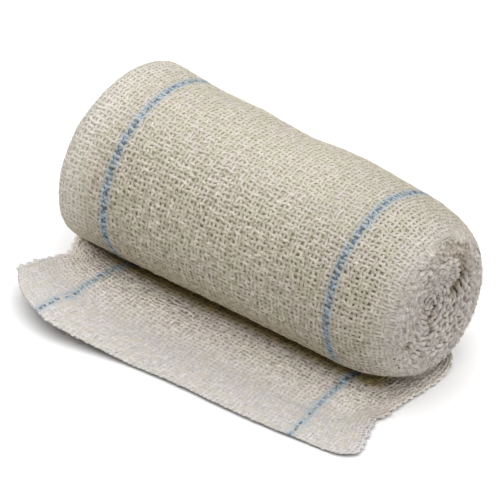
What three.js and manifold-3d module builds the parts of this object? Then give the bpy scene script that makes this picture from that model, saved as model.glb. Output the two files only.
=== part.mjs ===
// Crepe bandage: one strip of stretch cloth wound into a soft roll, with its loose end lying in front.
// Millimetres, +Z up. X runs along the roll's axis, the loose end lies towards -Y, and the origin is
// on the resting plane, straight below the axis and half-way between the two edge lines of the cloth.
import * as THREE from 'three';
import { mergeVertices } from 'three/addons/utils/BufferGeometryUtils.js';
import Module from 'manifold-3d';

// Cloth
const clothWidth = 100;
const clothThickness = 1.3;
const clothColour = 0xd6cfbf;

// Wound roll: the left end is fuller and squarer, the right end is slimmer with a long round shoulder
const fullRadius = 24.5; // at the left edge line
const slimRadius = 23.2; // at the right edge line
const edgeLineOffset = 33.5; // from the middle of the cloth to each edge line
const restSag = 0.6; // how far the soft roll settles, which makes its flat spot
const leftEnd = { x: -51.4, reach: 5.2, drop: 9.6, dish: 3.6 };
const rightEnd = { x: 50.8, reach: 19.0, drop: 10.2, dish: 3.0 };
const slack = { height: 0.2, wavesAlong: 3, wavesAround: 2 }; // soft unevenness of the winding

// Main turns that show as a spiral on the end faces, each standing for a few turns of the cloth
const turnPitch = 3.9;
const turnDepth = 1.2;
const openTurn = { angle: 2.5, spread: 1.1, depth: 1.8 }; // a turn stands open at the back of the right end

// Loose end: the outlines are rows of a place along the cloth (y) or across it (x)
const liftHeight = 6.0; // the left front corner curls up
const liftStart = { x: -5, y: -4 };
const liftReach = { x: 48, y: 34 };
const windOnAngle = THREE.MathUtils.degToRad(80); // the loose cloth has joined the roll by here
const selvedgeJoin = 0.6; // share of that angle in which its selvedges bend round the ends
const joinSink = 0.7; // its end sinks this far into the roll
const rollInset = 0.3; // the roll's own skin lies this far inside the cloth that wraps it
const cutEnd = [
  { x: -52.6, y: -34.4 },
  { x: -50.2, y: -37.9 },
  { x: -47.2, y: -40.3 },
  { x: -43.8, y: -42.4 },
  { x: -39.8, y: -43.5 },
  { x: -34.0, y: -45.1 },
  { x: -28.7, y: -44.1 },
  { x: -17.4, y: -41.9 },
  { x: -6.2, y: -40.3 },
  { x: 6.0, y: -39.7 },
  { x: 19.3, y: -39.4 },
  { x: 30.0, y: -38.5 },
  { x: 36.7, y: -37.7 },
  { x: 45.3, y: -36.7 },
  { x: 49.0, y: -35.9 },
  { x: 50.9, y: -34.6 },
  { x: 51.3, y: -32.0 },
];
const leftSelvedge = [
  { y: -34.4, x: -52.6 },
  { y: -32.0, x: -51.5 },
  { y: -26.0, x: -50.8 },
  { y: -20.5, x: -50.0 },
  { y: -16.2, x: -51.3 },
  { y: 0, x: -51.2 },
  { y: 12, x: -50.8 },
];
const rightSelvedge = [
  { y: -32.0, x: 51.3 },
  { y: -30.0, x: 50.2 },
  { y: -28.0, x: 49.2 },
  { y: -26.0, x: 48.5 },
  { y: -22.0, x: 47.7 },
  { y: -20.2, x: 46.6 },
  { y: -18.0, x: 47.8 },
  { y: -16.0, x: 48.1 },
  { y: -14.0, x: 47.6 },
  { y: -10.0, x: 48.5 },
  { y: -5.0, x: 49.0 },
  { y: 0, x: 49.0 },
  { y: 4.0, x: 48.7 },
  { y: 12, x: 49.0 },
];

// Fineness of the facets
const anglesAround = 48;
const endFaceStep = 1.15;
const bodyStations = 9;
const columnsAcross = 30;
const looseRows = 19;
const windOnRows = 11;
const facetTolerance = 0.002; // facets that lie this close to one plane are merged

const fullTurn = 2 * Math.PI;
const { lerp, smoothstep } = THREE.MathUtils;

// Value of one column of a table at a place in another column
function lookUp(rows, placeColumn, valueColumn, place) {
  const last = rows.length - 1;
  if (place <= rows[0][placeColumn]) return rows[0][valueColumn];
  if (place >= rows[last][placeColumn]) return rows[last][valueColumn];
  const next = rows.findIndex((row) => row[placeColumn] > place);
  const [low, high] = [rows[next - 1], rows[next]];
  const share = (place - low[placeColumn]) / (high[placeColumn] - low[placeColumn]);
  return lerp(low[valueColumn], high[valueColumn], share);
}

// The roll tapers evenly from its full end to its slim end
function bodyRadius(x) {
  return lerp(fullRadius, slimRadius, (x + edgeLineOffset) / (2 * edgeLineOffset));
}

function axisHeight(x) {
  return bodyRadius(x) - restSag;
}

// Half outline of the roll in (x, radius), from the middle of the left face to the middle of the right face
const leftBodyX = leftEnd.x + leftEnd.reach;
const rightBodyX = rightEnd.x - rightEnd.reach;
const leftRim = bodyRadius(leftBodyX) - leftEnd.drop;
const rightRim = bodyRadius(rightBodyX) - rightEnd.drop;
const at = (x, radius) => new THREE.Vector2(x, radius);
const shoulder = (x, rim, { reach, drop }, from, to) =>
  new THREE.EllipseCurve(x, rim, reach, drop, from, to, true);
const leftFace = new THREE.QuadraticBezierCurve(
  at(leftEnd.x + leftEnd.dish, 0),
  at(leftEnd.x, leftRim / 2),
  at(leftEnd.x, leftRim),
);
const leftShoulder = shoulder(leftBodyX, leftRim, leftEnd, Math.PI, Math.PI / 2);
const body = new THREE.LineCurve(
  at(leftBodyX, bodyRadius(leftBodyX)),
  at(rightBodyX, bodyRadius(rightBodyX)),
);
const rightShoulder = shoulder(rightBodyX, rightRim, rightEnd, Math.PI / 2, 0);
const rightFace = new THREE.QuadraticBezierCurve(
  at(rightEnd.x, rightRim),
  at(rightEnd.x, rightRim / 2),
  at(rightEnd.x - rightEnd.dish, 0),
);
const outline = new THREE.CurvePath();
[leftFace, leftShoulder, body, rightShoulder, rightFace].forEach((curve) => outline.add(curve));
const outlineLength = outline.getLength();
const middleLength = leftFace.getLength() + leftShoulder.getLength() - leftBodyX;

// Where the wound cloth lies at a distance across from its middle: x and radius
function woundPlace(distance) {
  return outline.getPoint((middleLength + distance) / outlineLength);
}

// Stations along the outline, close together on the end faces and wide apart on the body
function rollStations() {
  const stations = [];
  outline.curves.forEach((curve) => {
    const steps = curve === body ? bodyStations : Math.ceil(curve.getLength() / endFaceStep);
    for (let i = 0; i < steps; i++) {
      const share = i / steps;
      const tangent = curve.getTangentAt(share);
      stations.push({ place: curve.getPointAt(share), outward: new THREE.Vector2(-tangent.y, tangent.x) });
    }
  });
  return stations.slice(1);
}

// Depth of the spiral valley between main turns, none outside the selvedge of the outer turn
function turnValley(place, angle) {
  const selvedge = woundPlace(place.x < 0 ? -clothWidth / 2 : clothWidth / 2).y;
  const shows = 1 - smoothstep(place.y, selvedge - turnPitch, selvedge);
  const share = place.y / turnPitch + angle / fullTurn;
  const open = place.x < 0 ? 0 : 1 - smoothstep(Math.abs(angle - openTurn.angle), 0, openTurn.spread);
  const depth = turnDepth + openTurn.depth * open * smoothstep(place.y, turnPitch, 2 * turnPitch);
  return depth * shows * (1 - Math.abs(Math.sin(Math.PI * share)));
}

function slackAt(x, angle) {
  const along = Math.sin((slack.wavesAlong * Math.PI * x) / clothWidth + slack.wavesAround * angle);
  return slack.height * along * Math.sin(angle / 2) ** 2;
}

// A point at an angle round the axis, counted from straight down towards the back
function roundAxis(x, radius, angle, lowest) {
  const z = axisHeight(x) - radius * Math.cos(angle);
  return new THREE.Vector3(x, radius * Math.sin(angle), Math.max(z, lowest));
}

// The skin of the roll falls by one thickness of cloth in a turn, so the roll lies on its own loose end
function spiralFall(radius, x, angle) {
  const share = smoothstep(radius / bodyRadius(x), 0.6, 1);
  return (clothThickness * share * angle) / fullTurn;
}

function rollPoint(station, angle) {
  const place = station.place.clone().addScaledVector(station.outward, -turnValley(station.place, angle));
  const inset = rollInset * (1 - smoothstep(angle, 0, windOnAngle));
  const share = place.y / bodyRadius(place.x);
  const radius = place.y - spiralFall(place.y, place.x, angle) + share * (slackAt(place.x, angle) - inset);
  return roundAxis(place.x, Math.max(radius, 0), angle, rollInset);
}

// The left front corner of the loose end curls up off the table
function liftAt(x, y) {
  const towardsLeft = smoothstep((liftStart.x - x) / liftReach.x, 0, 1);
  const towardsFront = smoothstep((liftStart.y - y) / liftReach.y, 0, 1);
  return liftHeight * towardsLeft * towardsFront;
}

function selvedgeX(across, y) {
  return lerp(lookUp(leftSelvedge, 'y', 'x', y), lookUp(rightSelvedge, 'y', 'x', y), across);
}

// Cloth in front of the contact line: share is 0 at the cut end and 1 at the contact line
function looseEndPoint(across, share, depth) {
  const cutX = lerp(cutEnd[0].x, cutEnd[cutEnd.length - 1].x, across);
  const y = lookUp(cutEnd, 'x', 'y', cutX) * (1 - share);
  const x = lerp(cutX, selvedgeX(across, y), smoothstep(share, 0, 0.25));
  return new THREE.Vector3(x, y, liftAt(x, y) + depth);
}

// Cloth behind the contact line, which winds up the back of the roll and joins it
function windOnPoint(across, share, depth) {
  const angle = windOnAngle * share;
  const flatX = selvedgeX(across, angle * slimRadius);
  const wound = woundPlace((across - 0.5) * clothWidth);
  const joined = smoothstep(share, 0, selvedgeJoin);
  const x = lerp(flatX, wound.x, joined);
  const sink = joinSink * smoothstep(share, 0.5, 1);
  const radius = lerp(bodyRadius(flatX), wound.y, joined) - spiralFall(wound.y, x, angle) - sink - depth;
  return roundAxis(x, radius, angle, depth);
}

function clothPoint(across, row, depth) {
  if (row < looseRows) return looseEndPoint(across, row / looseRows, depth);
  return windOnPoint(across, (row - looseRows) / windOnRows, depth);
}

// Closed shapes are collected as quads and triangles of points
class Shell {
  positions = [];

  triangle(a, b, c) {
    [a, b, c].forEach((point) => this.positions.push(point.x, point.y, point.z));
  }

  quad(a, b, c, d) {
    this.triangle(a, b, c);
    this.triangle(a, c, d);
  }

  solid() {
    const geometry = new THREE.BufferGeometry();
    geometry.setAttribute('position', new THREE.Float32BufferAttribute(this.positions, 3));
    const merged = mergeVertices(geometry, 1e-4);
    const vertProperties = new Float32Array(merged.attributes.position.array);
    const triVerts = new Uint32Array(merged.index.array);
    return new wasm.Manifold(new wasm.Mesh({ numProp: 3, vertProperties, triVerts }));
  }
}

// The wound form: one ring of points for each station, closed at the middle of both end faces
function woundForm() {
  const shell = new Shell();
  const rings = rollStations().map((station) =>
    Array.from({ length: anglesAround + 1 }, (_, k) => rollPoint(station, (fullTurn * k) / anglesAround)),
  );
  const leftMiddle = new THREE.Vector3(leftEnd.x + leftEnd.dish, 0, axisHeight(leftEnd.x));
  const rightMiddle = new THREE.Vector3(rightEnd.x - rightEnd.dish, 0, axisHeight(rightEnd.x));
  const count = anglesAround + 1;
  for (let k = 0; k < count; k++) {
    const next = (k + 1) % count;
    shell.triangle(leftMiddle, rings[0][next], rings[0][k]);
    for (let i = 0; i + 1 < rings.length; i++) {
      shell.quad(rings[i][k], rings[i][next], rings[i + 1][next], rings[i + 1][k]);
    }
    shell.triangle(rightMiddle, rings[rings.length - 1][k], rings[rings.length - 1][next]);
  }
  return shell.solid();
}

// The loose end and the cloth that winds on: a thin sheet with an upper face, a lower face and a rim
function looseCloth() {
  const shell = new Shell();
  const rows = looseRows + windOnRows;
  const rowOfPoints = (row, depth) =>
    Array.from({ length: columnsAcross + 1 }, (_, i) => clothPoint(i / columnsAcross, row, depth));
  const face = (depth) => Array.from({ length: rows + 1 }, (_, row) => rowOfPoints(row, depth));
  const lower = face(0);
  const upper = face(clothThickness);
  for (let row = 0; row < rows; row++) {
    for (let i = 0; i < columnsAcross; i++) {
      shell.quad(upper[row][i], upper[row][i + 1], upper[row + 1][i + 1], upper[row + 1][i]);
      shell.quad(lower[row][i], lower[row + 1][i], lower[row + 1][i + 1], lower[row][i + 1]);
    }
    const last = columnsAcross;
    shell.quad(lower[row][0], upper[row][0], upper[row + 1][0], lower[row + 1][0]);
    shell.quad(lower[row][last], lower[row + 1][last], upper[row + 1][last], upper[row][last]);
  }
  for (let i = 0; i < columnsAcross; i++) {
    shell.quad(lower[0][i], lower[0][i + 1], upper[0][i + 1], upper[0][i]);
    shell.quad(lower[rows][i], upper[rows][i], upper[rows][i + 1], lower[rows][i + 1]);
  }
  return shell.solid();
}

function clothMesh(name, solid) {
  const { vertProperties, triVerts } = solid.getMesh();
  const geometry = new THREE.BufferGeometry();
  geometry.setAttribute('position', new THREE.BufferAttribute(new Float32Array(vertProperties), 3));
  geometry.setIndex(new THREE.BufferAttribute(new Uint32Array(triVerts), 1));
  geometry.computeVertexNormals();
  const material = new THREE.MeshStandardMaterial({ color: clothColour, roughness: 0.95, metalness: 0 });
  const mesh = new THREE.Mesh(geometry, material);
  mesh.name = name;
  return mesh;
}

const wasm = await Module();
wasm.setup();

const bandage = new THREE.Group();
const strip = woundForm().add(looseCloth()).simplify(facetTolerance);
bandage.add(clothMesh('crepe_bandage', strip));

export default bandage;
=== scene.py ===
import math

import bpy
import numpy as np
from mathutils import Matrix, Vector


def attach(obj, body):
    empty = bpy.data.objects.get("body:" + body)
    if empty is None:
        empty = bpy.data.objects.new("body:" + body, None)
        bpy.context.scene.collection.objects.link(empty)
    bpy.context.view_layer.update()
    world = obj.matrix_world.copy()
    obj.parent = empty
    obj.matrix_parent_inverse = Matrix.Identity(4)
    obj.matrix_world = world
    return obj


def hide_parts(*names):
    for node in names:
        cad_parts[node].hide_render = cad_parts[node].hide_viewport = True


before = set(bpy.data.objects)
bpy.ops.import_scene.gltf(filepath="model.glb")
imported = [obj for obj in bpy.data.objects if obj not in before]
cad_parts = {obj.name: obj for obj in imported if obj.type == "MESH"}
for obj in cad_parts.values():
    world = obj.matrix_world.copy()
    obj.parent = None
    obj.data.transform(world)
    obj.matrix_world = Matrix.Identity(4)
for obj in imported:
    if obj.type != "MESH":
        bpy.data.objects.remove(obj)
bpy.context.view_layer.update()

mm = 0.001
fullTurn = 2 * math.pi
scene = bpy.context.scene

print("camera")
view = {
    "azimuth": 39.35,  # degrees
    "elevation": 35.93,
    "distance": 1000.0,  # mm
    "pxPerMm": 4.13,
    "picture": 500,  # px a side
    "originPx": (275.8, 305.74),  # where the frame's origin falls in the picture
    "sensor": 36.0,
    "farthest": 20.0,  # m
}


def addCamera(size):
    az, el = math.radians(size["azimuth"]), math.radians(size["elevation"])
    right = Vector((math.cos(az), math.sin(az), 0))
    ahead = Vector((-math.sin(az) * math.cos(el), math.cos(az) * math.cos(el), -math.sin(el)))
    up = right.cross(ahead)
    px, py = size["originPx"]
    middle = size["picture"] / 2
    aim = right * (middle - px) / size["pxPerMm"] + up * (py - middle) / size["pxPerMm"]
    data = bpy.data.cameras.new("photoCamera")
    data.sensor_width = size["sensor"]
    data.lens = size["pxPerMm"] * size["distance"] * size["sensor"] / size["picture"]
    data.clip_end = size["farthest"]
    camera = bpy.data.objects.new("photoCamera", data)
    scene.collection.objects.link(camera)
    turn = Matrix((right, up, -ahead)).transposed().to_4x4()
    camera.matrix_world = Matrix.Translation((aim - ahead * size["distance"]) * mm) @ turn
    scene.camera = camera


addCamera(view)

print("course of the cloth")
cloth = {
    "width": 100.0,  # selvedge to selvedge, mm
    "half": 0.66,  # from the middle of the cloth to either face
    "turnPitch": 1.1,  # from one turn to the next
    "coreRadius": 0.7,
    "looseLength": 42.5,  # from the cut end to where the roll touches the table
    "edgeLine": 33.5,  # blue thread, from the middle
    "spare": 2.6,  # the guide surface runs this far past the cloth's edges
    "outerStep": 1.0,  # from row to row of the mesh, on the loose end and the outer turn
    "outerExtra": 4.0,  # and this far past that turn
    "innerGap": 0.1,  # radians from the last of those rows to the next
    "innerStep": math.radians(8),  # from row to row on the turns inside
    "columns": (0, 8, 16, 24, 30, 34, 37, 40, 42, 44, 46, 47.5, 48.6),  # of the mesh, from the middle
}
halfWidth = cloth["width"] / 2

# a pair of numbers is a span, from and to
roll = {
    "fullRadius": 24.5,
    "slimRadius": 23.2,
    "windRadius": 23.8,  # sets the run of cloth in a turn
    "sag": 0.6,  # how far the roll has settled on the table
    "middleX": -1.0,  # the wound cloth lies this far to the left
    "leftX": -51.3,
    "leftReach": 5.2,  # the end rounds over in this length
    "leftDrop": 9.6,  # and comes in by this much
    "leftDish": 3.4,  # its middle is sunken
    "rightX": 50.4,
    "rightReach": 19.0,
    "rightDrop": 10.2,
    "rightDish": 3.0,
    "dishRadius": (15.0, 0.0),  # the ends are sunken within this radius
    "nearEnd": (36.0, 50.0),  # across the cloth
    "coreY": -1.2,  # the right end's middle is pushed forward and up
    "coreZ": 1.8,
    "coreRadius": (16.0, 0.0),
    "coreAcross": (20.0, 50.0),
    "leftOut": 1.0,  # the left end stands out, the more so at the bottom
    "leftLean": 0.1,
    "leftAcross": (-30.0, -48.0),
    "humpAngle": math.radians(137),  # from straight down, up the back
    "humpSpread": 0.6,
    "innerFade": 2.0,  # radians in which the outer turn's slack gives way to the even turns inside
    "jitter": 0.3,  # how far the inner turns' selvedges stand in or out
    "rough": 0.25,  # and up or down
    "windOn": math.radians(48),  # the selvedges have bent round the ends by here
    "slack": 0.2,  # long waves of the whole roll
    "skin": 0.18,  # shorter ones of its outer turn
    "gather": 0.42,  # small puckers round the right end
    "gatherAcross": (24.0, 36.0),
    "leastRadius": 0.3,
}
humps = np.array([  # x, rise of the slack outer turn behind the top
    (-52, 1.2), (-44, 1.2), (-32, 0.4), (-24, 0.7), (-16, 1.1), (-9, 0.7), (-2.7, 0.2),
    (4, 0.8), (11, 1.6), (18, 1.3), (24, 0.9), (31, 0.3), (40, 0.1),
])
looseEnd = {
    "settle": (0.0, 0.25),  # share of its length in which the cut's corners give way to the selvedges
    "liftHeight": 6.0,  # of the left corner
    "liftX": (-5.0, -53.0),
    "liftY": (-4.0, -38.0),
    "leanHeight": 3.0,  # the left selvedge leans on the roll
    "leanX": (-42.5, -49.5),
    "leanY": -13.6,
    "leanSpread": 2.6,
    "ripple": 0.25,
    "rippleY": (0.0, -12.0),
}
cutEnd = np.array([  # x, y
    (-52.0, -34.4), (-49.6, -37.9), (-46.8, -40.3), (-43.6, -42.3), (-39.8, -43.4), (-34.0, -44.9),
    (-28.7, -44.0), (-17.4, -41.8), (-6.2, -40.2), (6.0, -39.6), (19.3, -39.3), (30.0, -38.4),
    (36.7, -37.6), (45.3, -36.6), (48.6, -35.8), (50.2, -34.6), (50.6, -32.0),
])
leftSelvedge = np.array([  # y, x of the selvedges and of the blue threads
    (-34.4, -52.0), (-32.0, -50.8), (-30.0, -50.7), (-28.0, -51.2), (-26.0, -50.1), (-22.0, -50.2),
    (-20.0, -49.1), (-18.0, -49.9), (-16.0, -50.7), (0, -50.5), (12, -50.1),
])
rightSelvedge = np.array([
    (-32.0, 50.6), (-30.0, 49.5), (-28.0, 48.5), (-26.0, 47.8), (-22.0, 47.0), (-20.2, 45.9),
    (-18.0, 47.1), (-16.0, 47.4), (-14.0, 46.9), (-10.0, 47.8), (-5.0, 48.3), (0, 48.3),
    (4.0, 48.2), (7.0, 48.6), (8.6, 46.4), (12, 43.5),
])
leftLine = np.array([
    (-44, -38.6), (-37, -37.3), (-32, -36.4), (-27, -37.4), (-18, -38.1), (-12, -37.6), (0, -34.4),
])
rightLine = np.array([(-38, 34.8), (-27, 33.2), (-13, 32.0), (0, 33.0)])
fold = {  # a crease across the turns of the right end, from its top inward
    "line": np.array([(0, 15.5), (4.6, 14.2), (8.7, 9.8), (9.4, 4.9), (7.2, 1.3)]),  # y, height from the axis
    "depth": 1.8,
    "width": 1.3,
    "outerShare": 0.45,  # of the depth, where the crease begins
    "dents": np.array([(-1.1, -2.8), (-1.8, -5.5), (-9.1, 0), (-12.5, -4.0)]),
    "dentDepth": 1.3,
    "dentWidth": 1.0,
    "across": (40.0, 48.0),
}
patterns = {  # a seed, then how quickly the waves follow each other, one way and the other
    "ripple": (3, 0.16, 0.13),
    "jitter": (11, 0.09),
    "rough": (5, 0.35, 0.2),
    "skin": (8, 0.2, 3.1),
    "gather": (14, 1.1, 0.05),
}


def ease(place, span):  # 0 before a span and 1 after it, with a soft start and stop
    t = np.clip((place - span[0]) / (span[1] - span[0]), 0, 1)
    return t * t * (3 - 2 * t)


def bell(gap, width):
    return np.exp(-(gap / width) ** 2)


def lookUp(table, place):
    return np.interp(place, table[:, 0], table[:, 1])


def waves(name, *places):  # gentle unevenness from -1 to 1, the same on every run
    seed, *rates = patterns[name]
    total = 0
    for k in range(4):  # four waves of unlike lengths
        a = seed * 12.9 + k * 7.3
        phase = 0
        for i, (place, rate) in enumerate(zip(places, rates)):
            phase = phase + place * rate * (0.7 + 0.6 * math.sin(a * 1.7 + i * 2.3))
        total = total + np.sin(phase * (1 + 0.63 * k) + a) / (1 + 0.5 * k)
    return total / 2.2


def foldDepth(y, z):  # how far the right end sinks at a place on it
    deep = 0
    line = fold["line"]
    last = len(line) - 1
    for k in range(last):
        step = line[k + 1] - line[k]
        t = np.clip(((y - line[k, 0]) * step[0] + (z - line[k, 1]) * step[1]) / (step @ step), 0, 1)
        gap = np.hypot(y - line[k, 0] - t * step[0], z - line[k, 1] - t * step[1])
        share = fold["outerShare"] + (1 - fold["outerShare"]) * (k + t) / last  # deepest at its inner end
        deep = np.maximum(deep, share * fold["depth"] * bell(gap, fold["width"]))
    for dent in fold["dents"]:
        gap = np.hypot(y - dent[0], z - dent[1])
        deep = np.maximum(deep, fold["dentDepth"] * bell(gap, fold["dentWidth"]))
    return deep


def bodyRadius(x):
    share = (x + cloth["edgeLine"]) / (2 * cloth["edgeLine"])
    return roll["fullRadius"] + (roll["slimRadius"] - roll["fullRadius"]) * share


def woundSection(across, depth):  # x and radius of the wound cloth at a depth below the roll's skin
    tau = np.linspace(0, math.pi / 2, 40)  # a quarter round
    far = 6.0  # past the ends the section goes straight on

    def side(name, way):  # from where an end begins to round over, outward
        x = roll[name + "X"] - way * roll[name + "Reach"]
        drop = max(roll[name + "Drop"] - depth, 0)
        xs = x + way * roll[name + "Reach"] * np.sin(tau)
        rs = bodyRadius(x) - depth - drop * (1 - np.cos(tau))
        xs = np.append(xs, xs[-1] + (way * far if drop == 0 else 0))
        return xs, np.append(rs, rs[-1] - (far if drop > 0 else 0))

    (leftXs, leftRs), (rightXs, rightRs) = side("left", -1), side("right", 1)
    xs, rs = np.concatenate([leftXs[::-1], rightXs]), np.concatenate([leftRs[::-1], rightRs])
    run = np.concatenate([[0], np.cumsum(np.hypot(np.diff(xs), np.diff(rs)))])
    middle = np.interp(roll["middleX"], xs, run)
    return np.interp(across + middle, run, xs), np.interp(across + middle, run, rs)


# the spiral: its first radius, and half of what that loses in a radian
firstRadius, halfFall = roll["windRadius"] - cloth["half"], cloth["turnPitch"] / (2 * fullTurn)


def angleAt(along):  # the spiral's angle from straight down, after a run of cloth
    root = math.sqrt(max(firstRadius * firstRadius - 4 * halfFall * along, 0))
    return (firstRadius - root) / (2 * halfFall)


def runAt(angle):
    return firstRadius * angle - halfFall * angle * angle


def spread(across, stops):  # x across the cloth, from where its selvedges and blue threads lie
    keys = (-halfWidth, -cloth["edgeLine"], cloth["edgeLine"], halfWidth)
    x = stops[0] + 0 * across
    for k in range(3):
        t = (across - keys[k]) / (keys[k + 1] - keys[k])
        x = np.where(across > keys[k], stops[k] + (stops[k + 1] - stops[k]) * t, x)
    return x + np.minimum(across + halfWidth, 0)


def flatX(across, y):
    tables = (leftSelvedge, leftLine, rightLine, rightSelvedge)
    return spread(across, [lookUp(table, y) for table in tables])


def looseRow(across, along):
    share = 1 + along / cloth["looseLength"]
    cutX = spread(across, [cutEnd[0, 0], leftLine[0, 1], rightLine[0, 1], cutEnd[-1, 0]])
    y = lookUp(cutEnd, cutX) * (1 - share)
    settled = ease(share, looseEnd["settle"])
    x = cutX * (1 - settled) + flatX(across, y) * settled
    lift = ease(x, looseEnd["liftX"]) * ease(y, looseEnd["liftY"]) * looseEnd["liftHeight"]
    lean = ease(x, looseEnd["leanX"]) * bell(y - looseEnd["leanY"], looseEnd["leanSpread"])
    ripple = looseEnd["ripple"] * (1 + waves("ripple", x, y)) * ease(y, looseEnd["rippleY"])
    return x, y, cloth["half"] + lift + lean * looseEnd["leanHeight"] + ripple, 0 * x


def woundRow(across, along):
    angle = angleAt(along)
    depth = cloth["half"] + cloth["turnPitch"] * angle / fullTurn
    x, radius = woundSection(across, depth)
    inner = ease(angle, (fullTurn, fullTurn + roll["innerFade"]))  # turns below the outer one
    outer = 1 - inner
    core = bodyRadius(0) - depth
    nearEnd = ease(np.abs(across), roll["nearEnd"])
    dish = np.where(across > 0, roll["rightDish"], roll["leftDish"]) * ease(core, roll["dishRadius"])
    x = x * (1 - nearEnd * dish / halfWidth)
    x = x + nearEnd * inner * roll["jitter"] * waves("jitter", along)

    radius = radius + inner * nearEnd * roll["rough"] * waves("rough", along, across)
    atTop = math.sin(angle / 2) ** 2  # nothing at the foot, all at the top
    fromTop = math.sin(min(angle, math.pi) / 2) ** 2  # and all from there on
    radius = radius + roll["slack"] * np.sin(3 * math.pi * x / cloth["width"] + 2 * angle) * atTop
    radius = radius + roll["skin"] * outer * waves("skin", x, angle) * fromTop
    puckers = ease(across, roll["gatherAcross"]) * waves("gather", along, across)
    radius = radius + roll["gather"] * outer * puckers
    radius = radius + bell(angle - roll["humpAngle"], roll["humpSpread"]) * outer * lookUp(humps, x)

    x = x - (roll["leftOut"] + roll["leftLean"] * radius * math.cos(angle)) * ease(across, roll["leftAcross"])
    joined = ease(angle, (0, roll["windOn"]))
    flat = flatX(across, angle * roll["slimRadius"])
    x = flat * (1 - joined) + x * joined
    radius = (bodyRadius(flat) - depth) * (1 - joined) + np.maximum(radius, roll["leastRadius"]) * joined

    shift = ease(across, roll["coreAcross"]) * ease(core, roll["coreRadius"])
    y = radius * math.sin(angle) + shift * roll["coreY"]
    height = shift * roll["coreZ"] - radius * math.cos(angle)
    sunk = foldDepth(y, height) * ease(across, fold["across"])
    x = x - sunk
    z = bodyRadius(x) - roll["sag"] + height
    return x, y, np.maximum(z, depth), sunk / fold["depth"]


def clothGrid(acrossList, alongList):  # points and inward normals, in mm, and how deep in a crease
    points = np.zeros((len(alongList), len(acrossList), 3))
    crease = np.zeros(points.shape[:2])
    for k, along in enumerate(alongList):
        row = looseRow(acrossList, along) if along < 0 else woundRow(acrossList, along)
        for i in range(3):
            points[k, :, i] = row[i]
        crease[k] = row[3]
    normals = np.cross(np.gradient(points, axis=1), np.gradient(points, axis=0))
    normals /= np.linalg.norm(normals, axis=2, keepdims=True)
    return points, normals, crease


endAngle = fullTurn * (bodyRadius(0) - cloth["half"] - cloth["coreRadius"]) / cloth["turnPitch"]
firstTurn = runAt(fullTurn)
clothEnd = runAt(endAngle)
looseStart = -cloth["looseLength"]
print("strip in mm:", round(clothEnd - looseStart), "of it wound:", round(clothEnd))


def alongStops(start):
    outer = np.arange(start, firstTurn + cloth["outerExtra"], cloth["outerStep"])
    angles = np.arange(angleAt(outer[-1]) + cloth["innerGap"], endAngle, cloth["innerStep"])
    return np.concatenate([outer, [runAt(angle) for angle in angles], [clothEnd]])


def acrossStops(limit):
    steps = np.array([*cloth["columns"], limit])
    return np.concatenate([-steps[:0:-1], steps])


def newObject(name, vertices, faces):
    mesh = bpy.data.meshes.new(name)
    mesh.from_pydata(vertices, [], faces)
    mesh.update()
    obj = bpy.data.objects.new(name, mesh)
    scene.collection.objects.link(obj)
    return obj


def gridFaces(rows, columns, first=0, flip=False):
    k, i = np.meshgrid(np.arange(rows - 1), np.arange(columns - 1), indexing="ij")
    a = (first + k * columns + i).ravel()
    quad = np.stack([a, a + 1, a + columns + 1, a + columns], axis=1)
    return quad[:, ::-1] if flip else quad


def setUv(mesh, uv):
    layer = mesh.uv_layers.new(name="clothUv")
    loops = np.zeros(len(mesh.loops), dtype=np.int32)
    mesh.loops.foreach_get("vertex_index", loops)
    layer.data.foreach_set("uv", uv[loops].astype(np.float32).ravel())


def setNumbers(mesh, name, values):
    attribute = mesh.attributes.new(name, "FLOAT", "POINT")
    attribute.data.foreach_set("value", values.astype(np.float32).ravel())


def setVectors(mesh, name, values):
    attribute = mesh.attributes.new(name, "FLOAT_VECTOR", "POINT")
    attribute.data.foreach_set("vector", values.astype(np.float32).ravel())


guideAcross = acrossStops(halfWidth + cloth["spare"])
guideAlong = alongStops(looseStart - cloth["spare"])
uvSpan = {
    "across": guideAcross[-1],
    "alongFrom": guideAlong[0],
    "alongRun": guideAlong[-1] - guideAlong[0],
}


def toUv(across, along):  # works on numbers and on sockets
    return (across / uvSpan["across"] + 1.0) / 2.0, (along - uvSpan["alongFrom"]) / uvSpan["alongRun"]


def makeGuide():
    points, normals, crease = clothGrid(guideAcross, guideAlong)
    faces = gridFaces(*points.shape[:2])
    surface = newObject("clothGuide", (points.reshape(-1, 3) * mm).tolist(), faces.tolist())
    u, v = toUv(guideAcross, guideAlong)
    setUv(surface.data, np.stack(np.meshgrid(u, v), axis=2).reshape(-1, 2))
    setVectors(surface.data, "inward", normals.reshape(-1, 3))
    setNumbers(surface.data, "crease", crease)
    return surface


guide = makeGuide()
print("guide faces:", len(guide.data.polygons))


class Wire:  # a socket of a node tree that takes part in sums
    def __init__(self, board, socket):
        self.board, self.socket = board, socket

    def sum(self, operation, *others):
        return self.board.maths(operation, self, *others)

    def __add__(self, other): return self.sum("ADD", other)
    def __sub__(self, other): return self.sum("SUBTRACT", other)
    def __mul__(self, other): return self.sum("MULTIPLY", other)
    def __truediv__(self, other): return self.sum("DIVIDE", other)
    def __gt__(self, other): return self.sum("GREATER_THAN", other)
    def __lt__(self, other): return self.sum("LESS_THAN", other)
    def __abs__(self): return self.sum("ABSOLUTE")
    def __radd__(self, other): return self.board.maths("ADD", other, self)
    def __rsub__(self, other): return self.board.maths("SUBTRACT", other, self)


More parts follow.
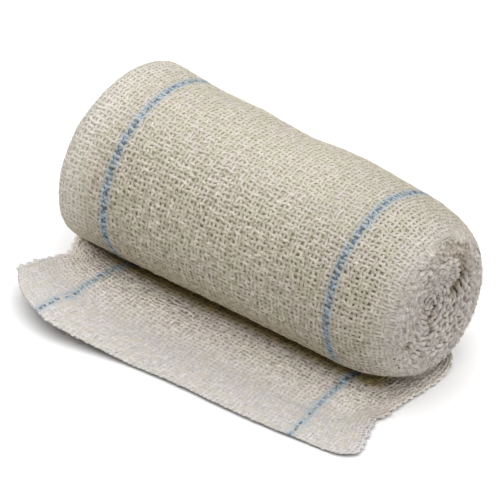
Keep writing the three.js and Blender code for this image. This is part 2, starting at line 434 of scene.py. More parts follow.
class Board:  # a node tree that nodes are added to
    def __init__(self, tree):
        self.tree = tree

    def add(self, kind, settings=None, values=None, out=0):
        node = self.tree.nodes.new(kind)
        for name, value in (settings or {}).items():
            setattr(node, name, value)
        pairs = values.items() if isinstance(values, dict) else enumerate(values or [])
        for name, value in pairs:
            for item in value if isinstance(value, list) else [value]:
                if isinstance(item, Wire):
                    self.tree.links.new(item.socket, node.inputs[name])
                else:
                    node.inputs[name].default_value = item
        return Wire(self, node.outputs[out]) if len(node.outputs) else node

    def maths(self, operation, *values):
        return self.add("ShaderNodeMath", {"operation": operation}, values)

    def other(self, wire, out):  # another output of the same node
        return Wire(self, wire.socket.node.outputs[out])


def combine(b, x=0.0, y=0.0, z=0.0):
    return b.add("ShaderNodeCombineXYZ", None, [x, y, z])


def parts(b, wire):
    first = b.add("ShaderNodeSeparateXYZ", None, [wire])
    return first, b.other(first, 1), b.other(first, 2)


def held(wire):  # kept between 0 and 1
    return wire.sum("MAXIMUM", 0.0).sum("MINIMUM", 1.0)


def ramp(wire, span):  # 0 before a span and 1 after it
    return held((wire - span[0]) / (span[1] - span[0]))


def varied(noise, amount):  # round 1, by a noise from 0 to 1
    return 1.0 + (noise - 0.5) * amount


print("weave")
weave = {
    "warpPitch": cloth["edgeLine"] / 28.5,  # so that a warp yarn lies on the edge line
    "weftPitch": 1.25,
    "sideYarn": 42.5,  # the outermost warp yarn, in pitches from the middle
    "stops": (19.0, 82.0),  # where the back's piece of weave begins and ends, along the cloth
    "overlap": 2.0,  # the outer turn's yarns go on this far, and the inner ones stop this far short
    "yarnWidth": 0.94,
    "yarnHeight": 0.42,
    "sides": 5,  # of a yarn's section
    "crimp": 0.09,
    "crimpVary": 0.8,
    "crimpScale": 0.5,  # noises to a millimetre
    "float": 0.02,  # share of the crossings that are turned over, which makes the crepe uneven
    "wander": 0.6,
    "wanderScale": 0.4,
    "curl": 0.34,
    "curlScale": 2.7,  # times that of the wander
    "moveGain": 3.0,  # the noises keep near their middle, so they are widened
    "pebble": 0.55,
    "pebbleScale": 0.42,
    "thickVary": 3.0,
    "thickScale": 0.5,
    "thinnest": 0.5,
    "lineHalf": 0.3,  # a yarn this near to the edge line is the blue thread
    "lineFiner": 0.2,
    "steady": 4.0,  # the yarns lie straight in the last stretch before the cut
    "leastMove": 0.15,
    "loopReach": 0.55,
    "loopVary": (0.5, 1.5),
    "loopPoints": 7,
    "fray": (-1.0, 0.4),  # a warp yarn's end stands out or in
    "cutFray": 0.2,
    "endColumns": 2,  # crossings that are built at the ends of the inner turns
    "seed": 3,
}
calmly = {  # where the cloth is closer and smoother, and how much
    "cut": (-14.0, -28.0),  # along, towards the cut end
    "back": (46.0, 60.0),  # along, on the top of the roll
    "front": (93.0, 79.0),
    "left": (-35.0, -40.0),  # across, on the sides of the roll
    "right": (43.0, 49.0),
    "rightShare": 0.7,
    "wider": 0.26,
    "evener": 1.8,
    "crimp": 0.3,
    "flat": 0.48,
}
noiseSeeds = {"wander": 0.0, "curl": 31.0, "crimp": 57.0, "pebble": 83.0, "thick": 101.0}
endYarn = {  # soft, packed turns
    "Yarn Width": 1.1, "Yarn Height": 1.2, "Curl": 0.4, "Pebble": 0.4, "Loop Reach": 0.5,
}
weaveInputs = [
    ("Guide", "NodeSocketObject"), ("Across From", "NodeSocketFloat"), ("Across To", "NodeSocketFloat"),
    ("Along From", "NodeSocketFloat"), ("Along To", "NodeSocketFloat"),
    ("Warp Start", "NodeSocketFloat"), ("Warp Count", "NodeSocketInt"),
    ("Weft Start", "NodeSocketFloat"), ("Weft Count", "NodeSocketInt"),
    ("Warp Pitch", "NodeSocketFloat"), ("Weft Pitch", "NodeSocketFloat"),
    ("Yarn Width", "NodeSocketFloat"), ("Yarn Height", "NodeSocketFloat"), ("Crimp", "NodeSocketFloat"),
    ("Float", "NodeSocketFloat"), ("Wander", "NodeSocketFloat"), ("Wander Scale", "NodeSocketFloat"),
    ("Curl", "NodeSocketFloat"), ("Pebble", "NodeSocketFloat"),
    ("Loop Reach", "NodeSocketFloat"), ("Left Loops", "NodeSocketInt"), ("Right Loops", "NodeSocketInt"),
    ("Fray", "NodeSocketFloat"), ("Seed", "NodeSocketInt"), ("Material", "NodeSocketMaterial"),
]


def calmShare(across, along):  # how smooth the cloth is at a place on it, from 0 to 1
    top = ramp(along, calmly["back"]) * ramp(along, calmly["front"])
    side = ramp(across, calmly["left"]) + ramp(across, calmly["right"]) * calmly["rightShare"]
    return held(ramp(along, calmly["cut"]) + top + side * (along < firstTurn))


def openTree(name, inputs):
    tree = bpy.data.node_groups.new(name, "GeometryNodeTree")
    for label, kind in inputs:
        tree.interface.new_socket(label, in_out="INPUT", socket_type=kind)
    tree.interface.new_socket("Geometry", in_out="OUTPUT", socket_type="NodeSocketGeometry")
    group = tree.nodes.new("NodeGroupInput")
    b = Board(tree)
    return b, {label: Wire(b, group.outputs[label]) for label, _ in inputs}


def closeTree(b, geometry):
    out = b.tree.nodes.new("NodeGroupOutput")
    b.tree.links.new(geometry.socket, out.inputs[0])
    return b.tree


def named(b, name, kind="FLOAT"):
    return b.add("GeometryNodeInputNamedAttribute", {"data_type": kind}, {"Name": name})


def marked(b, geometry, name, value, kind="FLOAT", domain="POINT"):
    return b.add("GeometryNodeStoreNamedAttribute", {"data_type": kind, "domain": domain},
                 {"Geometry": geometry, "Name": name, "Value": value})


def randomBetween(b, low, high, seed, **others):
    return b.add("FunctionNodeRandomValue", {"data_type": "FLOAT"},
                 {2: low, 3: high, "Seed": seed, **others}, out=1)


def row(b, count, start, step):
    return b.add("GeometryNodeMeshLine", {"mode": "OFFSET"},
                 {"Count": count, "Start Location": start, "Offset": step})


def arc(b, points, start, sweep):
    return b.add("GeometryNodeCurveArc", {"mode": "RADIUS"}, {
        "Resolution": points, "Radius": 0.5, "Start Angle": start, "Sweep Angle": sweep})


def realized(b, geometry):
    return b.add("GeometryNodeRealizeInstances", None, [geometry])


def ring(b, sides, radius):
    return b.add("GeometryNodeCurvePrimitiveCircle", {"mode": "RADIUS"},
                 {"Resolution": sides, "Radius": radius})


def ontoCloth(b, strands, section, given):  # from the flat cloth (across, along, height) to the wound one
    tube = b.add("GeometryNodeCurveToMesh", None,
                 {"Curve": strands, "Profile Curve": section, "Fill Caps": True})
    flat = b.add("GeometryNodeInputPosition")
    across, along, height = parts(b, flat)
    uv = combine(b, *toUv(across, along))
    info = b.add("GeometryNodeObjectInfo", {"transform_space": "ORIGINAL"},
                 {"Object": given["Guide"]}, out="Geometry")
    guideUv = named(b, "clothUv", "FLOAT_VECTOR")

    def onGuide(value, kind):
        return b.add("GeometryNodeSampleUVSurface", {"data_type": kind},
                     {"Mesh": info, "Value": value, "UV Map": guideUv, "Sample UV": uv})

    spot = onGuide(flat, "FLOAT_VECTOR")
    normal = onGuide(named(b, "inward", "FLOAT_VECTOR"), "FLOAT_VECTOR")
    relief = height * (1.0 - calmShare(across, along) * calmly["flat"])
    raised = b.add("ShaderNodeVectorMath", {"operation": "SCALE"}, {"Vector": normal, "Scale": relief * mm})
    final = b.add("ShaderNodeVectorMath", {"operation": "ADD"}, [spot, raised])
    tube = marked(b, tube, "clothPlace", flat, "FLOAT_VECTOR")
    tube = marked(b, tube, "crease", onGuide(named(b, "crease"), "FLOAT"))
    tube = marked(b, tube, "clothUv", uv, "FLOAT2", "CORNER")
    tube = b.add("GeometryNodeSetPosition", None, {"Geometry": tube, "Position": final})
    tube = b.add("GeometryNodeSetShadeSmooth", None, {"Geometry": tube, "Shade Smooth": True})
    return b.add("GeometryNodeSetMaterial", None,
                 {"Geometry": realized(b, tube), "Material": given["Material"]})


def weaveTree():
    b, given = openTree("crepeWeave", weaveInputs)

    def vector(x=0.0, y=0.0, z=0.0):
        return combine(b, x, y, z)

    def yarns(start, end, count, points):
        line = b.add("GeometryNodeCurvePrimitiveLine", None, {"Start": start, "End": end})
        line = b.add("GeometryNodeResampleCurve", None, {"Curve": line, "Count": count})
        return b.add("GeometryNodeInstanceOnPoints", None, {"Points": points, "Instance": line})

    def samples(start, end, pitch):  # one point on each crossing and one between
        return ((end - start) * 2.0 / pitch).sum("ROUND") + 1.0

    def noise(place, scale, seed, out=0):
        lift = vector(0, 0, given["Seed"] + seed)
        lifted = b.add("ShaderNodeVectorMath", {"operation": "ADD"}, [place, lift])
        value = b.add("ShaderNodeTexNoise", {"noise_dimensions": "3D"},
                      {"Vector": lifted, "Scale": scale, "Detail": 1.0, "Roughness": 0.5})
        return b.other(value, out)

    warpPitch, weftPitch, seed = given["Warp Pitch"], given["Weft Pitch"], given["Seed"]
    acrossFrom, acrossTo = given["Across From"], given["Across To"]
    alongFrom, alongTo = given["Along From"], given["Along To"]
    warp = yarns(vector(0, alongFrom), vector(0, alongTo), samples(alongFrom, alongTo, weftPitch),
                 row(b, given["Warp Count"], vector(given["Warp Start"]), vector(warpPitch)))
    weft = yarns(vector(acrossFrom), vector(acrossTo), samples(acrossFrom, acrossTo, warpPitch),
                 row(b, given["Weft Count"], vector(0, given["Weft Start"]), vector(0, weftPitch)))

    def loops(edge, shift, side, wanted):  # the weft turns back at every second row
        first = given["Weft Start"] + weftPitch * (0.5 + shift)
        reach = randomBetween(b, *weave["loopVary"], seed) * given["Loop Reach"]
        return b.add("GeometryNodeInstanceOnPoints", None, {
            "Points": row(b, wanted, vector(edge, first), vector(0, weftPitch * 2.0)),
            "Instance": arc(b, weave["loopPoints"], -math.pi / 2, math.pi),
            "Scale": vector(reach * (2.0 * side), weftPitch, 1.0)})

    rightLoops = loops(acrossTo, 0.0, 1.0, given["Right Loops"])
    leftLoops = loops(acrossFrom, 1.0, -1.0, given["Left Loops"])
    weft = b.add("GeometryNodeJoinGeometry", None, {0: [weft, leftLoops, rightLoops]})
    warp = marked(b, realized(b, warp), "yarnKind", 1.0)
    weft = marked(b, realized(b, weft), "yarnKind", -1.0)
    strands = b.add("GeometryNodeJoinGeometry", None, {0: [warp, weft]})

    place = b.add("GeometryNodeInputPosition")
    across, along, _ = parts(b, place)
    kind = named(b, "yarnKind")
    isWarp = kind > 0.0
    isWeft = 1.0 - isWarp
    calm = calmShare(across, along)
    wander = parts(b, noise(place, given["Wander Scale"], noiseSeeds["wander"], 1))
    curlSeed = noiseSeeds["curl"] + kind * 7.0  # warp and weft curl apart
    curl = parts(b, noise(place, given["Wander Scale"] * weave["curlScale"], curlSeed, 1))
    steady = held((along - looseStart) / weave["steady"] + weave["leastMove"])

    def moved(k):
        shift = (wander[k] - 0.5) * given["Wander"] + (curl[k] - 0.5) * given["Curl"]
        return shift * weave["moveGain"] * steady

    fray = randomBetween(b, *weave["fray"], seed, ID=across * 7.0)
    atCut = (along < alongFrom + 0.01) * isWarp
    moveY = moved(1) + atCut * fray * given["Fray"]

    def overUnder(i, j):  # 1 where the warp lies over the weft, -1 where under
        dice = b.add("ShaderNodeTexWhiteNoise", {"noise_dimensions": "3D"},
                     {"Vector": vector(i + 0.5, j + 0.5, 0.7)})
        return ((i + j) * math.pi).sum("COSINE") * (1.0 - (dice < given["Float"]) * 2.0)

    nudge = 0.001  # keeps a point that lies on a crossing from falling to either side
    stepAcross = across / warpPitch - isWeft * 0.5 + nudge
    stepAlong = along / weftPitch - isWarp * 0.5 + nudge
    i, j = stepAcross.sum("FLOOR"), stepAlong.sum("FLOOR")
    between = stepAlong.sum("FRACT") * isWarp + stepAcross.sum("FRACT") * isWeft
    height = overUnder(i, j) * (1.0 - between) + overUnder(i + isWeft, j + isWarp) * between
    crimp = varied(noise(place, weave["crimpScale"], noiseSeeds["crimp"]), weave["crimpVary"])
    crimp = height * kind * given["Crimp"] * crimp * (1.0 - calm * calmly["crimp"])
    pebble = (noise(place, weave["pebbleScale"], noiseSeeds["pebble"]) - 0.5) * given["Pebble"]
    strands = b.add("GeometryNodeSetPosition", None,
                    {"Geometry": strands, "Offset": vector(moved(0), moveY, crimp + pebble)})

    thickNoise = noise(place, weave["thickScale"], noiseSeeds["thick"] + kind * 11.0)
    thick = varied(thickNoise, weave["thickVary"] - calm * calmly["evener"])
    thick = thick.sum("MAXIMUM", weave["thinnest"]) * (1.0 + calm * calmly["wider"])
    onLine = (abs(abs(across) - cloth["edgeLine"]) < weave["lineHalf"]) * isWarp
    thick = thick * (1.0 - onLine * weave["lineFiner"])
    strands = b.add("GeometryNodeSetCurveRadius", None, {"Curve": strands, "Radius": thick})
    strands = b.add("GeometryNodeSetCurveNormal", {"mode": "Z_UP"}, {"Curve": strands})
    section = b.add("GeometryNodeTransform", None, {
        "Geometry": ring(b, weave["sides"], 0.5),
        "Scale": vector(given["Yarn Width"], given["Yarn Height"], 1.0)})
    return closeTree(b, ontoCloth(b, strands, section, given))


fuzz = {
    "length": 1.7,
    "width": 0.1,
    "spread": 0.6,  # up and down from the middle of the cloth
    "looseLength": 0.9,  # the loose end lies on the table
    "looseLow": 0.1,
    "vary": (0.5, 1.5),
    "bend": 2.0,  # radians
    "points": 4,
    "sides": 3,
    "rightBand": (-1.2, 0.5),  # from the selvedge
    "leftBand": (-0.9, 1.2),
    "rightCount": 3300,
    "leftCount": 1700,
    "looseCount": 900,
}
fuzzInputs = [
    ("Guide", "NodeSocketObject"), ("Low", "NodeSocketVector"), ("High", "NodeSocketVector"),
    ("Count", "NodeSocketInt"), ("Length", "NodeSocketFloat"), ("Width", "NodeSocketFloat"),
    ("Seed", "NodeSocketInt"), ("Material", "NodeSocketMaterial"),
]


def fuzzTree():  # short curved fibres that stand off the cloth
    b, given = openTree("crepeFuzz", fuzzInputs)

    def anywhere(low, high, seed):
        return b.add("FunctionNodeRandomValue", {"data_type": "FLOAT_VECTOR"},
                     {0: low, 1: high, "Seed": seed})

    spots = b.add("GeometryNodeSetPosition", None, {
        "Geometry": row(b, given["Count"], (0, 0, 0), (0, 0, 0)),
        "Position": anywhere(given["Low"], given["High"], given["Seed"])})
    turn = anywhere((0, 0, 0), (fullTurn,) * 3, given["Seed"] + 1.0)
    size = randomBetween(b, *fuzz["vary"], given["Seed"] + 2.0) * given["Length"]
    strands = b.add("GeometryNodeInstanceOnPoints", None, {
        "Points": spots, "Instance": arc(b, fuzz["points"], 0.0, fuzz["bend"]),
        "Rotation": turn, "Scale": combine(b, size, size, size)})
    section = ring(b, fuzz["sides"], given["Width"] * 0.5)
    return closeTree(b, ontoCloth(b, realized(b, strands), section, given))


def woven(name, tree, values):  # runs a tree and keeps its result as a plain mesh
    obj = newObject(name, [], [])
    modifier = obj.modifiers.new("weave", "NODES")
    modifier.node_group = tree
    sockets = {item.name: item.identifier for item in tree.interface.items_tree if item.in_out == "INPUT"}
    for key, value in values.items():
        modifier[sockets[key]] = value
    bpy.context.view_layer.update()
    shown = obj.evaluated_get(bpy.context.evaluated_depsgraph_get())
    mesh = bpy.data.meshes.new_from_object(shown)
    obj.modifiers.remove(modifier)
    obj.data = mesh
    mesh.name = name
    print(name, "triangles:", sum(len(p.vertices) - 2 for p in mesh.polygons))
    return obj


def shaderBoard(name):
    material = bpy.data.materials.new(name)
    material.use_nodes = True
    material.node_tree.nodes.clear()
    return material, Board(material.node_tree)


def finishShader(b, values):
    shader = b.add("ShaderNodeBsdfPrincipled", None, values)
    b.add("ShaderNodeOutputMaterial", None, {"Surface": shader})


def colourMix(b, share, first, second):
    return b.add("ShaderNodeMix", {"data_type": "RGBA"}, {0: share, 6: first, 7: second}, out=2)


def tinted(b, colour, tint):
    return b.add("ShaderNodeMix", {"data_type": "RGBA", "blend_type": "MULTIPLY"},
                 {0: 1.0, 6: colour, 7: tint}, out=2)


def clouds(b, place, scale, detail):
    return b.add("ShaderNodeTexNoise", None, {"Vector": place, "Scale": scale, "Detail": detail})


def stored(b, name, out="Fac"):
    return b.add("ShaderNodeAttribute", {"attribute_name": name}, out=out)


white = (1, 1, 1, 1)
yarnLook = {
    "cream": (0.507, 0.47, 0.364, 1),
    "grey": (0.515, 0.477, 0.42, 1),
    "inside": (0.535, 0.505, 0.49, 1),  # the cloth's inner face and its turns
    "pale": (0.65, 0.625, 0.57, 1),  # along the left selvedge of the roll: a paler selvedge tone, plus painted light that grows toward the front
    "blue": (0.115, 0.155, 0.21, 1),
    "worn": (0.27, 0.33, 0.385, 1),  # the blue thread where it is rubbed
    "blueTint": (0.325, 0.39, 0.44, 1),  # the yarns beside it
    "pink": (1.03, 0.985, 1.0, 1),  # this and the next four are multiplied in
    "yellow": (1.0, 1.0, 0.94, 1),
    "litCool": (0.965, 1.0, 1.06, 1),  # painted light: a cooler tone on the top of the roll and the cut end, where the light falls fullest
    "shadeOlive": (1.0, 0.87, 0.42, 1),  # painted warm shade, where the loose end goes under the roll and on the roll's low front
    "creaseShade": (1.1, 1.0, 0.8, 1),  # painted warm shade, brownish in a crease
    "crease": 0.62,  # painted shade: how much darker the bottom of a crease is
    "crevice": 0.42,  # painted shadow: how much darker the cloth that goes under the roll is
    "roughness": 0.92,
    "shine": 0.2,
    "bump": 0.3,
    "bumpDepth": 0.15,
    "mottle": 0.66,  # blotches to a millimetre
    "mottleGain": 2.6,
    "hue": 0.13,
    "hueGain": 2.4,
    "grain": 2.3,
}
yarnSpan = {  # from and to, in mm
    "loose": (16.0, 8.0),  # along: the loose end and what lies under the roll
    "turned": (43.0, 46.0),  # across: the turns that show at the right end
    "shoulder": (42.0, 49.0),
    "paleSide": (-37.0, -43.0),
    "paleBack": (20.0, 30.0),
    "paleFrontLight": (68.0, 100.0),
    "coolCut": (-22.0, -32.0),
    "coolBack": (50.0, 64.0),
    "coolFront": (96.0, 82.0),
    "crevice": (-14.6, -11.4),
    "creviceSide": (43.0, 39.0),
    "lowFront": (108.0, 128.0),  # the roll's front, down to the table, tinted with painted warm shade
    "lowSide": (40.0, 36.0),
    "hidden": (-21.0, -16.0),
    "blueTint": (1.9, 0.8),  # away from the blue thread
    "rubbed": (0.92, 1.12),  # sum of two noises
    "crown": (0.05, 0.4),  # up or down from the middle of the cloth; lower yarns get painted shade
    "outEnd": (-17.0, -31.0),  # out from under the roll, where the loose end gets all the light
    "outSide": (41.0, 47.0),
    # painted shade: the back of the top and the right part of the roll darker
    "shadeBack": (73.0, 61.0),
    "shadeRight": (12.0, 32.0),
}
yarnShare = {
    "inside": 0.75,
    "shoulder": 0.6,
    "pale": 0.8,
    "paleBack": 0.4,
    "litCoolTop": 0.6,
    "lowFront": 0.22,
    "hidden": 0.7,
    "tintGain": 1.4,
    "crown": 0.12,
    "calmCrown": 0.6,
    "blotch": 1.1,
    "calmBlotch": 0.6,
    "grain": 0.44,
    "outSide": 0.6,
    "shadeBack": 0.13,
    "shadeRight": 0.1,
    "loose": 0.86,  # lighter yarns beside the roll, which make up for its shadow
    "outward": 0.82,  # and much less so away from it
    "innerTurns": 0.02,
    "creaseShadeGain": 1.4,
    "lineHalf": 0.65,  # mm to either side of the blue thread's middle
    "underRoll": 10.0,  # mm along: the loose end's own looks end here
}


def sharper(noise, gain):  # a noise from 0 to 1 with more contrast
    return held((noise - 0.5) * gain + 0.5)


def yarnMaterial():
    material, b = shaderBoard("crepeYarn")
    look, share = yarnLook, yarnShare

    def over(wire, name):
        return ramp(wire, yarnSpan[name])

    def toned(colour, amount, name):
        return tinted(b, colour, colourMix(b, amount, white, look[name]))

    place = stored(b, "clothPlace", "Vector")
    across, along, height = parts(b, place)
    isWarp = stored(b, "yarnKind") > 0.0
    crease = stored(b, "crease")
    calm = calmShare(across, along)
    fromLine = abs(abs(across) - cloth["edgeLine"])
    loose = over(along, "loose")
    inner = along > firstTurn
    outer = 1.0 - inner
    onLoose = along < share["underRoll"]
    mottle = clouds(b, place, look["mottle"], 1.0)
    grain = clouds(b, place, look["grain"], 2.0)
    hue = clouds(b, place, look["hue"], 2.0)

    colour = colourMix(b, sharper(mottle, look["mottleGain"]), look["cream"], look["grey"])
    shoulder = over(across, "shoulder") * outer * share["shoulder"]
    inside = held(loose + over(across, "turned") * inner + shoulder)
    colour = colourMix(b, inside * share["inside"], colour, look["inside"])
    # pale selvedge tone, partly painted light, growing from the top toward the front
    paleFrontLight = share["paleBack"] + over(along, "paleFrontLight") * (1.0 - share["paleBack"])
    pale = over(across, "paleSide") * over(along, "paleBack") * paleFrontLight
    colour = colourMix(b, pale * share["pale"], colour, look["pale"])
    hues = colourMix(b, sharper(hue, look["hueGain"]), look["pink"], look["yellow"])
    colour = tinted(b, colour, hues)

    # painted light: cooler tone on the top of the roll and at the cut end
    litCoolTop = over(along, "coolBack") * over(along, "coolFront") * share["litCoolTop"]
    colour = toned(colour, over(along, "coolCut") + litCoolTop, "litCool")
    # painted shadow and warm shade: olive and darker where the loose end goes under the roll, olive on the
    # roll's low front
    crevice = over(along, "crevice") * onLoose * over(abs(across), "creviceSide")
    lowFront = over(along, "lowFront") * outer * over(across, "lowSide") * share["lowFront"]
    colour = toned(colour, crevice + lowFront, "shadeOlive")

    beside = over(fromLine, "blueTint") * held(mottle * share["tintGain"])
    colour = colourMix(b, beside, colour, look["blueTint"])
    dye = colourMix(b, over(grain + mottle, "rubbed"), look["blue"], look["worn"])
    hidden = over(along, "hidden") * onLoose * (across < 0.0) * share["hidden"]
    onLine = (fromLine < share["lineHalf"]) * isWarp
    colour = colourMix(b, onLine * (1.0 - hidden), colour, dye)

    # painted shade: yarns darker the lower they lie in the weave, less so where the cloth is smooth
    crown = over(abs(height), "crown")
    crown = crown + (1.0 - crown) * calm * share["calmCrown"]
    blotch = varied(mottle, share["blotch"] - calm * share["calmBlotch"])
    outward = held(over(along, "outEnd") + over(across, "outSide") * share["outSide"])
    # painted shade on the back of the top and the right of the roll, not on the loose end
    dimShade = over(along, "shadeBack") * share["shadeBack"] + over(across, "shadeRight") * share["shadeRight"]
    lighter = loose * (share["loose"] - outward * share["outward"]) - inner * share["innerTurns"]
    shade = (1.0 - share["crown"] + crown * share["crown"]) * varied(grain, share["grain"])
    shade = shade * blotch * (1.0 - (1.0 - loose) * dimShade) * (1.0 + lighter)
    # painted shade: brownish down in a crease
    colour = toned(colour, held(crease * share["creaseShadeGain"]), "creaseShade")
    # painted shade in a crease and painted shadow on the cloth under the roll, multiplied into the yarn
    # shading
    colour = tinted(b, colour, shade * (1.0 - crease * look["crease"]) * (1.0 - crevice * look["crevice"]))
    bump = b.add("ShaderNodeBump", None, {
        "Strength": look["bump"], "Distance": look["bumpDepth"] * mm, "Height": grain})
    finishShader(b, {
        "Base Color": colour, "Roughness": look["roughness"], "Specular IOR Level": look["shine"],
        "Normal": bump})
    return material


groundLook = {  # the strip that shows between the yarns, coloured dark as painted shade in the gaps
    "colour": (0.25, 0.215, 0.155, 1),
    "deep": (0.17, 0.142, 0.097, 1),
    "calm": (0.47, 0.435, 0.37, 1),
    "edge": (0.46, 0.41, 0.345, 1),
    "edgeAcross": (43.0, 47.0),
    "looseCalm": 0.45,
    "shoulder": 0.45,  # painted shade: how much darker the roll's right shoulder is
    "shoulderAcross": (30.0, 36.0),
    "shoulderAlong": (30.0, 50.0),
    "clouds": 0.9,
    "roughness": 0.95,
    "shine": 0.2,
}


def groundMaterial():
    material, b = shaderBoard("crepeGround")
    look = groundLook
    place = stored(b, "clothPlace", "Vector")
    across, along, _ = parts(b, place)
    # painted shade: the gaps between the yarns dark
    colour = colourMix(b, clouds(b, place, look["clouds"], 2.0), look["deep"], look["colour"])
    calm = calmShare(across, along) + ramp(along, yarnSpan["loose"]) * look["looseCalm"]
    colour = colourMix(b, held(calm), colour, look["calm"])
    # painted shade in the gaps of the roll's right shoulder
    shoulder = ramp(across, look["shoulderAcross"]) * ramp(along, look["shoulderAlong"])
    colour = tinted(b, colour, 1.0 - shoulder * look["shoulder"])
    colour = colourMix(b, ramp(abs(across), look["edgeAcross"]), colour, look["edge"])
    # painted shade, darker down in a crease
    colour = tinted(b, colour, 1.0 - stored(b, "crease") * yarnLook["crease"])
    finishShader(b, {
        "Base Color": colour, "Roughness": look["roughness"], "Specular IOR Level": look["shine"]})
    return material


crepeYarn = yarnMaterial()
crepeGround = groundMaterial()
weaveGroup = weaveTree()
fuzzGroup = fuzzTree()


def weavePiece(name, rows, columns, warpCount, loops, changes):  # rows and columns of crossings, from and to
    warpPitch, weftPitch = weave["warpPitch"], weave["weftPitch"]
    weftCount = rows[1] - rows[0]
    warpStart = columns[0] if columns[0] < 0 else columns[1] - (warpCount - 1)
    values = {
        "Guide": guide, "Across From": columns[0] * warpPitch, "Across To": columns[1] * warpPitch,
        "Along From": rows[0] * weftPitch, "Along To": rows[1] * weftPitch,
        "Warp Start": warpStart * warpPitch, "Warp Count": warpCount,
        "Weft Start": (rows[0] + 0.5) * weftPitch, "Weft Count": weftCount,
        "Warp Pitch": warpPitch, "Weft Pitch": weftPitch,
        "Yarn Width": weave["yarnWidth"], "Yarn Height": weave["yarnHeight"], "Crimp": weave["crimp"],
        "Float": weave["float"], "Wander": weave["wander"], "Wander Scale": weave["wanderScale"],
        "Curl": weave["curl"], "Pebble": weave["pebble"], "Loop Reach": weave["loopReach"],
        "Left Loops": weftCount // 2 if "left" in loops else 0,
        "Right Loops": weftCount // 2 if "right" in loops else 0,
        "Fray": 0.0, "Seed": weave["seed"], "Material": crepeYarn,
    }
    return woven(name, weaveGroup, {**values, **changes})


def evenRow(along):
    return 2 * round(along / weave["weftPitch"] / 2)


side, both = weave["sideYarn"], ("left", "right")
inside = side - weave["endColumns"]
ends = (looseStart, *weave["stops"], firstTurn + weave["overlap"], clothEnd - weave["overlap"])
rowStops = [evenRow(along) for along in ends]
fullWidth, allYarns = (-side, side), int(2 * side + 1)
weavePieces = [
    weavePiece("looseEndWeave", rowStops[0:2], fullWidth, allYarns, both, {"Fray": weave["cutFray"]}),
    weavePiece("backWeave", rowStops[1:3], fullWidth, allYarns, both, {}),
    weavePiece("frontWeave", rowStops[2:4], fullWidth, allYarns, both, {}),
    weavePiece("rightEndWeave", rowStops[3:5], (inside, side), 1, ("right",), endYarn),
    weavePiece("leftEndWeave", rowStops[3:5], (-side, -inside), 1, ("left",), endYarn),
]


def fuzzPiece(name, rows, across, count, seed, low=-fuzz["spread"], length=fuzz["length"]):
    return woven(name, fuzzGroup, {
        "Guide": guide, "Low": (across[0], rows[0] * weave["weftPitch"], low),
        "High": (across[1], rows[1] * weave["weftPitch"], fuzz["spread"]), "Count": count,
        "Length": length, "Width": fuzz["width"], "Seed": seed, "Material": crepeYarn})


rightBand = [halfWidth + off for off in fuzz["rightBand"]]
leftBand = [-halfWidth + off for off in fuzz["leftBand"]]
weavePieces += [
    fuzzPiece("rightEndFuzz", rowStops[2:5:2], rightBand, fuzz["rightCount"], 11),
    fuzzPiece("leftEndFuzz", rowStops[1:5:3], leftBand, fuzz["leftCount"], 23),
    fuzzPiece("looseEndFuzz", rowStops[0:2], (-halfWidth, halfWidth), fuzz["looseCount"], 31,
              fuzz["looseLow"], fuzz["looseLength"]),
]

print("strip of cloth")
ground = {
    "half": 0.05,
    "inset": 0.6,
    "shift": 0.12,  # on the roll it lies nearer to the inner face
    "shiftAlong": (0.0, 20.0),
}


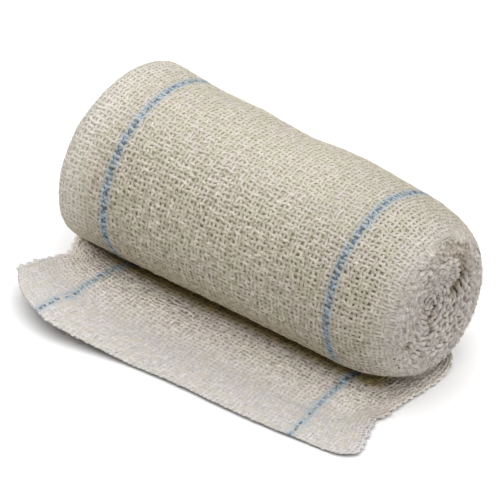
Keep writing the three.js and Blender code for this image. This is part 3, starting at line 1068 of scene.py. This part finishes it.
def makeStrip():
    acrossList = acrossStops(halfWidth - ground["inset"])
    alongList = alongStops(looseStart)
    points, normals, crease = clothGrid(acrossList, alongList)
    rows, columns = points.shape[:2]
    shift = (ground["shift"] * ease(alongList, ground["shiftAlong"]))[:, None, None]
    inner = points + normals * (shift + ground["half"])
    outer = points + normals * (shift - ground["half"])
    vertices = np.concatenate([inner.reshape(-1, 3), outer.reshape(-1, 3)]) * mm
    n = rows * columns
    faces = [gridFaces(rows, columns), gridFaces(rows, columns, n, True)]
    rim = np.concatenate([
        np.arange(columns), np.arange(1, rows) * columns + columns - 1,
        (rows - 1) * columns + np.arange(columns - 2, -1, -1), np.arange(rows - 2, 0, -1) * columns])
    nextOne = np.roll(rim, -1)
    faces.append(np.stack([nextOne, rim, rim + n, nextOne + n], axis=1))
    obj = newObject("clothStrip", vertices.tolist(), np.concatenate(faces).tolist())
    obj.data.shade_smooth()
    place = np.stack([*np.meshgrid(acrossList, alongList), np.zeros((rows, columns))], axis=2)
    place = place.reshape(-1, 3)
    setVectors(obj.data, "clothPlace", np.concatenate([place, place]))
    setNumbers(obj.data, "crease", np.concatenate([crease, crease]))
    obj.data.materials.append(crepeGround)
    return obj


strip = makeStrip()
print("clothStrip triangles:", 2 * len(strip.data.polygons))
bpy.data.objects.remove(guide)

print("floor and light")
stage = {
    "floor": 6.0,  # m a side
    "floorColour": (0.86, 0.86, 0.86, 1),
    "floorRoughness": 0.9,
    "aim": (0, 0, 0.02),
    "lights": [  # place and size in m, and watts
        ("softTop", (0, 0.04, 1.0), 2.2, 32.0),
        ("softRight", (0.92, 0.12, 0.36), 0.6, 2.4),
    ],
    "sky": 0.02,
}


def makeFloor():
    s = stage["floor"] / 2
    floor = newObject("floor", [(-s, -s, 0), (s, -s, 0), (s, s, 0), (-s, s, 0)], [(0, 1, 2, 3)])
    material, b = shaderBoard("paleFloor")
    finishShader(b, {"Base Color": stage["floorColour"], "Roughness": stage["floorRoughness"]})
    floor.data.materials.append(material)


def addLight(name, place, size, watts):
    data = bpy.data.lights.new(name, "AREA")
    data.shape, data.size, data.energy = "DISK", size, watts
    lamp = bpy.data.objects.new(name, data)
    scene.collection.objects.link(lamp)
    place, aim = Vector(place), Vector(stage["aim"])
    turn = (place - aim).to_track_quat("Z", "Y").to_matrix().to_4x4()
    lamp.matrix_world = Matrix.Translation(place) @ turn


makeFloor()
for light in stage["lights"]:
    addLight(*light)
world = bpy.data.worlds.new("studio")
world.use_nodes = True
sky = world.node_tree.nodes["Background"]
sky.inputs["Color"].default_value = white
sky.inputs["Strength"].default_value = stage["sky"]
scene.world = world
scene.view_settings.view_transform = "Standard"

print("pieces")
for piece in [strip, *weavePieces]:
    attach(piece, "root")
    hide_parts("crepe_bandage")
(clothEnd - looseStart) * mm
